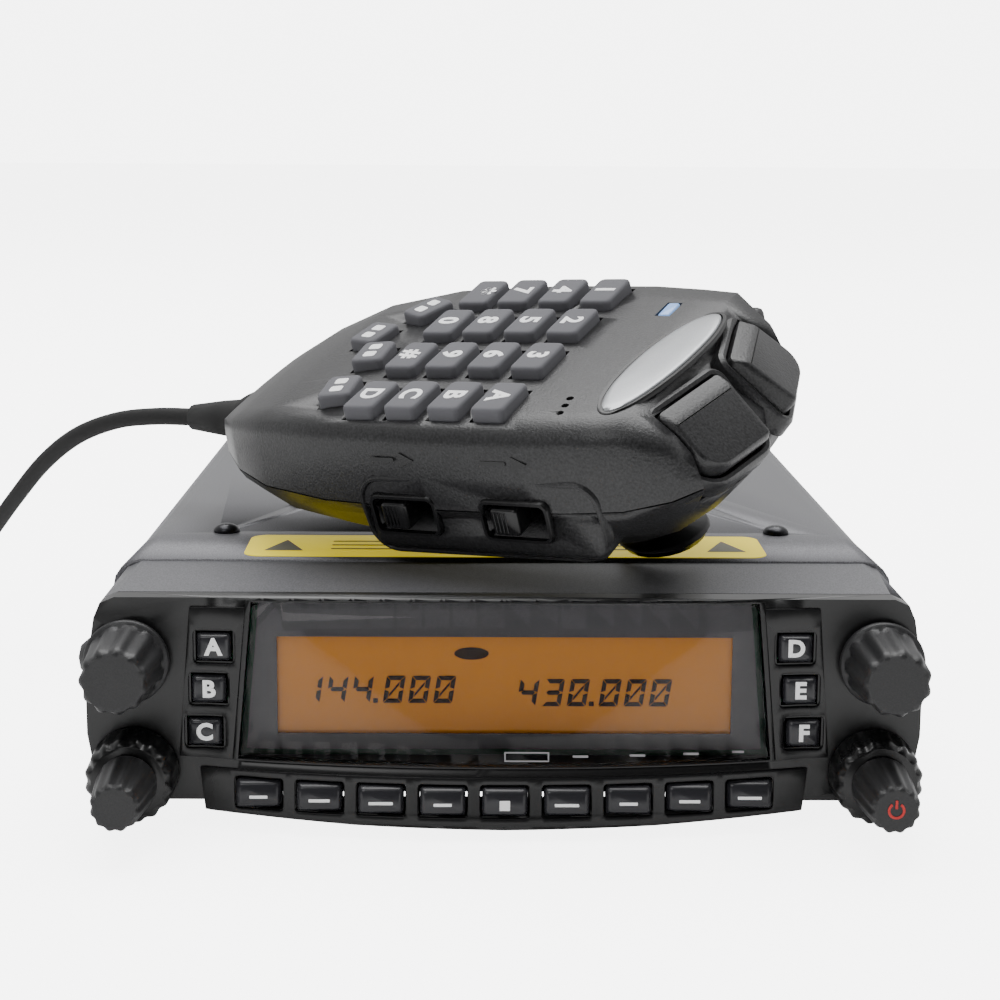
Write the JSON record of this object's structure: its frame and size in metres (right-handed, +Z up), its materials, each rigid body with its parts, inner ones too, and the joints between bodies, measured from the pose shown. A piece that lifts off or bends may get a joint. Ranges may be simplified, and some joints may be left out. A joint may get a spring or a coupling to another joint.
{
  "type": "mobile transceiver",
  "caption": "Dual-display mobile radio with a detachable control head, tuning dials, coaxial volume knobs and a keypad hand microphone on a curly cord.",
  "frame": {"origin": "middle of the bottom cover's flat face between its sides", "axes": "+Z up, the display faces -Y, +X to the right of somebody who faces the display"},
  "size_m": [0.2814, 0.2193, 0.0888],
  "materials": {
    "grey_paint": "fine-grained dark grey metallic paint, satin",
    "bare_aluminium": "die-cast aluminium, sand blasted",
    "black_steel": "black zinc plated screw, semi gloss",
    "steel": "bright nickel plated",
    "board_green": "green solder resist",
    "paper_cone": "black paper cone",
    "black_plastic": "moulded, satin",
    "head_plastic": "moulded, fine spark texture, satin",
    "window": "smoke tinted acrylic, glossy",
    "amber_display": "backlit amber liquid crystal display",
    "key_plastic": "moulded, semi gloss with white marks",
    "knob_rubber": "soft touch, fluted",
    "handset_plastic": "moulded, fine spark texture, matt",
    "keypad_silicone": "silicone keys, semi matt with white marks",
    "blue_lens": "clear blue lens",
    "silver_plate": "satin silver plate with a bright rim",
    "cord_rubber": "satin black sheath",
    "plug_plastic": "smooth black modular plug"
  },
  "bodies": {
    "main_unit": {"chassis": "bare_aluminium", "top_cover": "grey_paint", "bottom_cover": "grey_paint", "left_front_screw": "black_steel", "right_front_screw": "black_steel", "left_rear_screw": "black_steel", "right_rear_screw": "black_steel", "main_board": "board_green", "loudspeaker": "paper_cone", "antenna_socket": "steel", "power_inlet": "black_plastic", "speaker_jack": "black_plastic"},
    "fan": {"fan_impeller": "black_plastic"},
    "control_head": {"head_rear_shell": "grey_paint", "head_front_shell": "head_plastic", "display_window": "window", "lcd_module": "amber_display", "head_board": "board_green"},
    "side_cap": {"side_jack_cap": "knob_rubber"},
    "left_dial_shaft": {"left_tuning_shaft": "steel"},
    "right_dial_shaft": {"right_tuning_shaft": "steel"},
    "left_dial": {"left_tuning_dial": "knob_rubber"},
    "right_dial": {"right_tuning_dial": "knob_rubber"},
    "left_squelch": {"left_squelch_ring": "head_plastic"},
    "right_squelch": {"right_squelch_ring": "head_plastic"},
    "left_volume": {"left_volume_knob": "knob_rubber"},
    "power_button": {"power_shaft": "steel"},
    "right_volume": {"right_volume_knob": "knob_rubber"},
    "handset": {"handset_front_shell": "handset_plastic", "handset_back_shell": "handset_plastic", "handset_keypad": "keypad_silicone", "handset_board": "board_green", "badge_plate": "silver_plate", "status_lens": "blue_lens", "hang_button": "handset_plastic", "strain_relief": "cord_rubber", "cord_tail": "cord_rubber", "cord_coil": "cord_rubber", "plug_tail": "cord_rubber", "cord_plug": "plug_plastic"},
    "push_to_talk": {"push_to_talk_lever": "handset_plastic"},
    "up_button": {"up_key": "handset_plastic"},
    "down_button": {"down_key": "handset_plastic"},
    "lamp_slide": {"lamp_switch": "handset_plastic"},
    "lock_slide": {"lock_switch": "handset_plastic"},
    "key_a_cap": {"key_a": "key_plastic"},
    "key_b_cap": {"key_b": "key_plastic"},
    "key_c_cap": {"key_c": "key_plastic"},
    "key_d_cap": {"key_d": "key_plastic"},
    "key_e_cap": {"key_e": "key_plastic"},
    "key_f_cap": {"key_f": "key_plastic"},
    "lower_key_1_cap": {"lower_key_1": "key_plastic"},
    "lower_key_2_cap": {"lower_key_2": "key_plastic"},
    "lower_key_3_cap": {"lower_key_3": "key_plastic"},
    "lower_key_4_cap": {"lower_key_4": "key_plastic"},
    "lower_key_5_cap": {"lower_key_5": "key_plastic"},
    "lower_key_6_cap": {"lower_key_6": "key_plastic"},
    "lower_key_7_cap": {"lower_key_7": "key_plastic"},
    "lower_key_8_cap": {"lower_key_8": "key_plastic"},
    "lower_key_9_cap": {"lower_key_9": "key_plastic"}
  },
  "joints": [
    {"name": "fan_spin", "type": "hinge", "parent": "main_unit", "child": "fan", "pos_m": [0, 0.099, 0.02], "axis": [0, 1, 0], "continuous": true},
    {"name": "head_release", "type": "slide", "parent": "main_unit", "child": "control_head", "axis": [0, -1, 0], "range_m": [0, 0.06]},
    {"name": "side_cap_pull", "type": "slide", "parent": "control_head", "child": "side_cap", "axis": [-1, 0, 0], "range_m": [0, 0.012]},
    {"name": "left_dial_push", "type": "slide", "parent": "control_head", "child": "left_dial_shaft", "axis": [0, 1, 0], "range_m": [0, 0.0008], "stiffness_N_per_m": 600, "springref_m": -0.001},
    {"name": "left_dial_turn", "type": "hinge", "parent": "left_dial_shaft", "child": "left_dial", "pos_m": [-0.0626, -0.09, 0.0289], "axis": [0, 1, 0], "continuous": true},
    {"name": "left_squelch_turn", "type": "hinge", "parent": "control_head", "child": "left_squelch", "pos_m": [-0.0619, -0.088, 0.0099], "axis": [0, 1, 0], "range_deg": [-150, 150]},
    {"name": "right_dial_push", "type": "slide", "parent": "control_head", "child": "right_dial_shaft", "axis": [0, 1, 0], "range_m": [0, 0.0008], "stiffness_N_per_m": 600, "springref_m": -0.001},
    {"name": "right_dial_turn", "type": "hinge", "parent": "right_dial_shaft", "child": "right_dial", "pos_m": [0.0626, -0.09, 0.0289], "axis": [0, 1, 0], "continuous": true},
    {"name": "right_squelch_turn", "type": "hinge", "parent": "control_head", "child": "right_squelch", "pos_m": [0.0619, -0.088, 0.0099], "axis": [0, 1, 0], "range_deg": [-150, 150]},
    {"name": "left_volume_turn", "type": "hinge", "parent": "control_head", "child": "left_volume", "pos_m": [-0.0619, -0.098, 0.0099], "axis": [0, 1, 0], "range_deg": [-150, 150]},
    {"name": "power_push", "type": "slide", "parent": "control_head", "child": "power_button", "axis": [0, 1, 0], "range_m": [0, 0.0006], "stiffness_N_per_m": 600, "springref_m": -0.001},
    {"name": "right_volume_turn", "type": "hinge", "parent": "power_button", "child": "right_volume", "pos_m": [0.0619, -0.098, 0.0099], "axis": [0, 1, 0], "range_deg": [-150, 150]},
    {"name": "key_a_press", "type": "slide", "parent": "control_head", "child": "key_a_cap", "axis": [0, 1, 0], "range_m": [0, 0.0007], "stiffness_N_per_m": 300, "springref_m": -0.001},
    {"name": "key_b_press", "type": "slide", "parent": "control_head", "child": "key_b_cap", "axis": [0, 1, 0], "range_m": [0, 0.0007], "stiffness_N_per_m": 300, "springref_m": -0.001},
    {"name": "key_c_press", "type": "slide", "parent": "control_head", "child": "key_c_cap", "axis": [0, 1, 0], "range_m": [0, 0.0007], "stiffness_N_per_m": 300, "springref_m": -0.001},
    {"name": "key_d_press", "type": "slide", "parent": "control_head", "child": "key_d_cap", "axis": [0, 1, 0], "range_m": [0, 0.0007], "stiffness_N_per_m": 300, "springref_m": -0.001},
    {"name": "key_e_press", "type": "slide", "parent": "control_head", "child": "key_e_cap", "axis": [0, 1, 0], "range_m": [0, 0.0007], "stiffness_N_per_m": 300, "springref_m": -0.001},
    {"name": "key_f_press", "type": "slide", "parent": "control_head", "child": "key_f_cap", "axis": [0, 1, 0], "range_m": [0, 0.0007], "stiffness_N_per_m": 300, "springref_m": -0.001},
    {"name": "lower_key_1_press", "type": "slide", "parent": "control_head", "child": "lower_key_1_cap", "axis": [0, 1, 0], "range_m": [0, 0.0007], "stiffness_N_per_m": 300, "springref_m": -0.001},
    {"name": "lower_key_2_press", "type": "slide", "parent": "control_head", "child": "lower_key_2_cap", "axis": [0, 1, 0], "range_m": [0, 0.0007], "stiffness_N_per_m": 300, "springref_m": -0.001},
    {"name": "lower_key_3_press", "type": "slide", "parent": "control_head", "child": "lower_key_3_cap", "axis": [0, 1, 0], "range_m": [0, 0.0007], "stiffness_N_per_m": 300, "springref_m": -0.001},
    {"name": "lower_key_4_press", "type": "slide", "parent": "control_head", "child": "lower_key_4_cap", "axis": [0, 1, 0], "range_m": [0, 0.0007], "stiffness_N_per_m": 300, "springref_m": -0.001},
    {"name": "lower_key_5_press", "type": "slide", "parent": "control_head", "child": "lower_key_5_cap", "axis": [0, 1, 0], "range_m": [0, 0.0007], "stiffness_N_per_m": 300, "springref_m": -0.001},
    {"name": "lower_key_6_press", "type": "slide", "parent": "control_head", "child": "lower_key_6_cap", "axis": [0, 1, 0], "range_m": [0, 0.0007], "stiffness_N_per_m": 300, "springref_m": -0.001},
    {"name": "lower_key_7_press", "type": "slide", "parent": "control_head", "child": "lower_key_7_cap", "axis": [0, 1, 0], "range_m": [0, 0.0007], "stiffness_N_per_m": 300, "springref_m": -0.001},
    {"name": "lower_key_8_press", "type": "slide", "parent": "control_head", "child": "lower_key_8_cap", "axis": [0, 1, 0], "range_m": [0, 0.0007], "stiffness_N_per_m": 300, "springref_m": -0.001},
    {"name": "lower_key_9_press", "type": "slide", "parent": "control_head", "child": "lower_key_9_cap", "axis": [0, 1, 0], "range_m": [0, 0.0007], "stiffness_N_per_m": 300, "springref_m": -0.001},
    {"name": "handset_lift", "type": "slide", "parent": "main_unit", "child": "handset", "axis": [0, 0, 1], "range_m": [0, 0.1]},
    {"name": "push_to_talk_press", "type": "hinge", "parent": "handset", "child": "push_to_talk", "pos_m": [0.01086, -0.01539, 0.0728], "axis": [-0.2229, -0.2852, 0.9322], "range_deg": [-2.5, 0], "stiffness_Nm_per_rad": 0.3, "springref_deg": 2.86},
    {"name": "up_press", "type": "slide", "parent": "handset", "child": "up_button", "axis": [-0.368, 0.7231, -0.5845], "range_m": [0, 0.0008], "stiffness_N_per_m": 400, "springref_m": -0.001},
    {"name": "down_press", "type": "slide", "parent": "handset", "child": "down_button", "axis": [-0.5583, 0.3914, -0.7315], "range_m": [0, 0.0008], "stiffness_N_per_m": 400, "springref_m": -0.001},
    {"name": "lamp_slide_move", "type": "slide", "parent": "handset", "child": "lamp_slide", "axis": [0.8571, -0.5129, 0.048], "range_m": [0, 0.0036]},
    {"name": "lock_slide_move", "type": "slide", "parent": "handset", "child": "lock_slide", "axis": [0.8571, -0.5129, 0.048], "range_m": [0, 0.0036]}
  ]
}
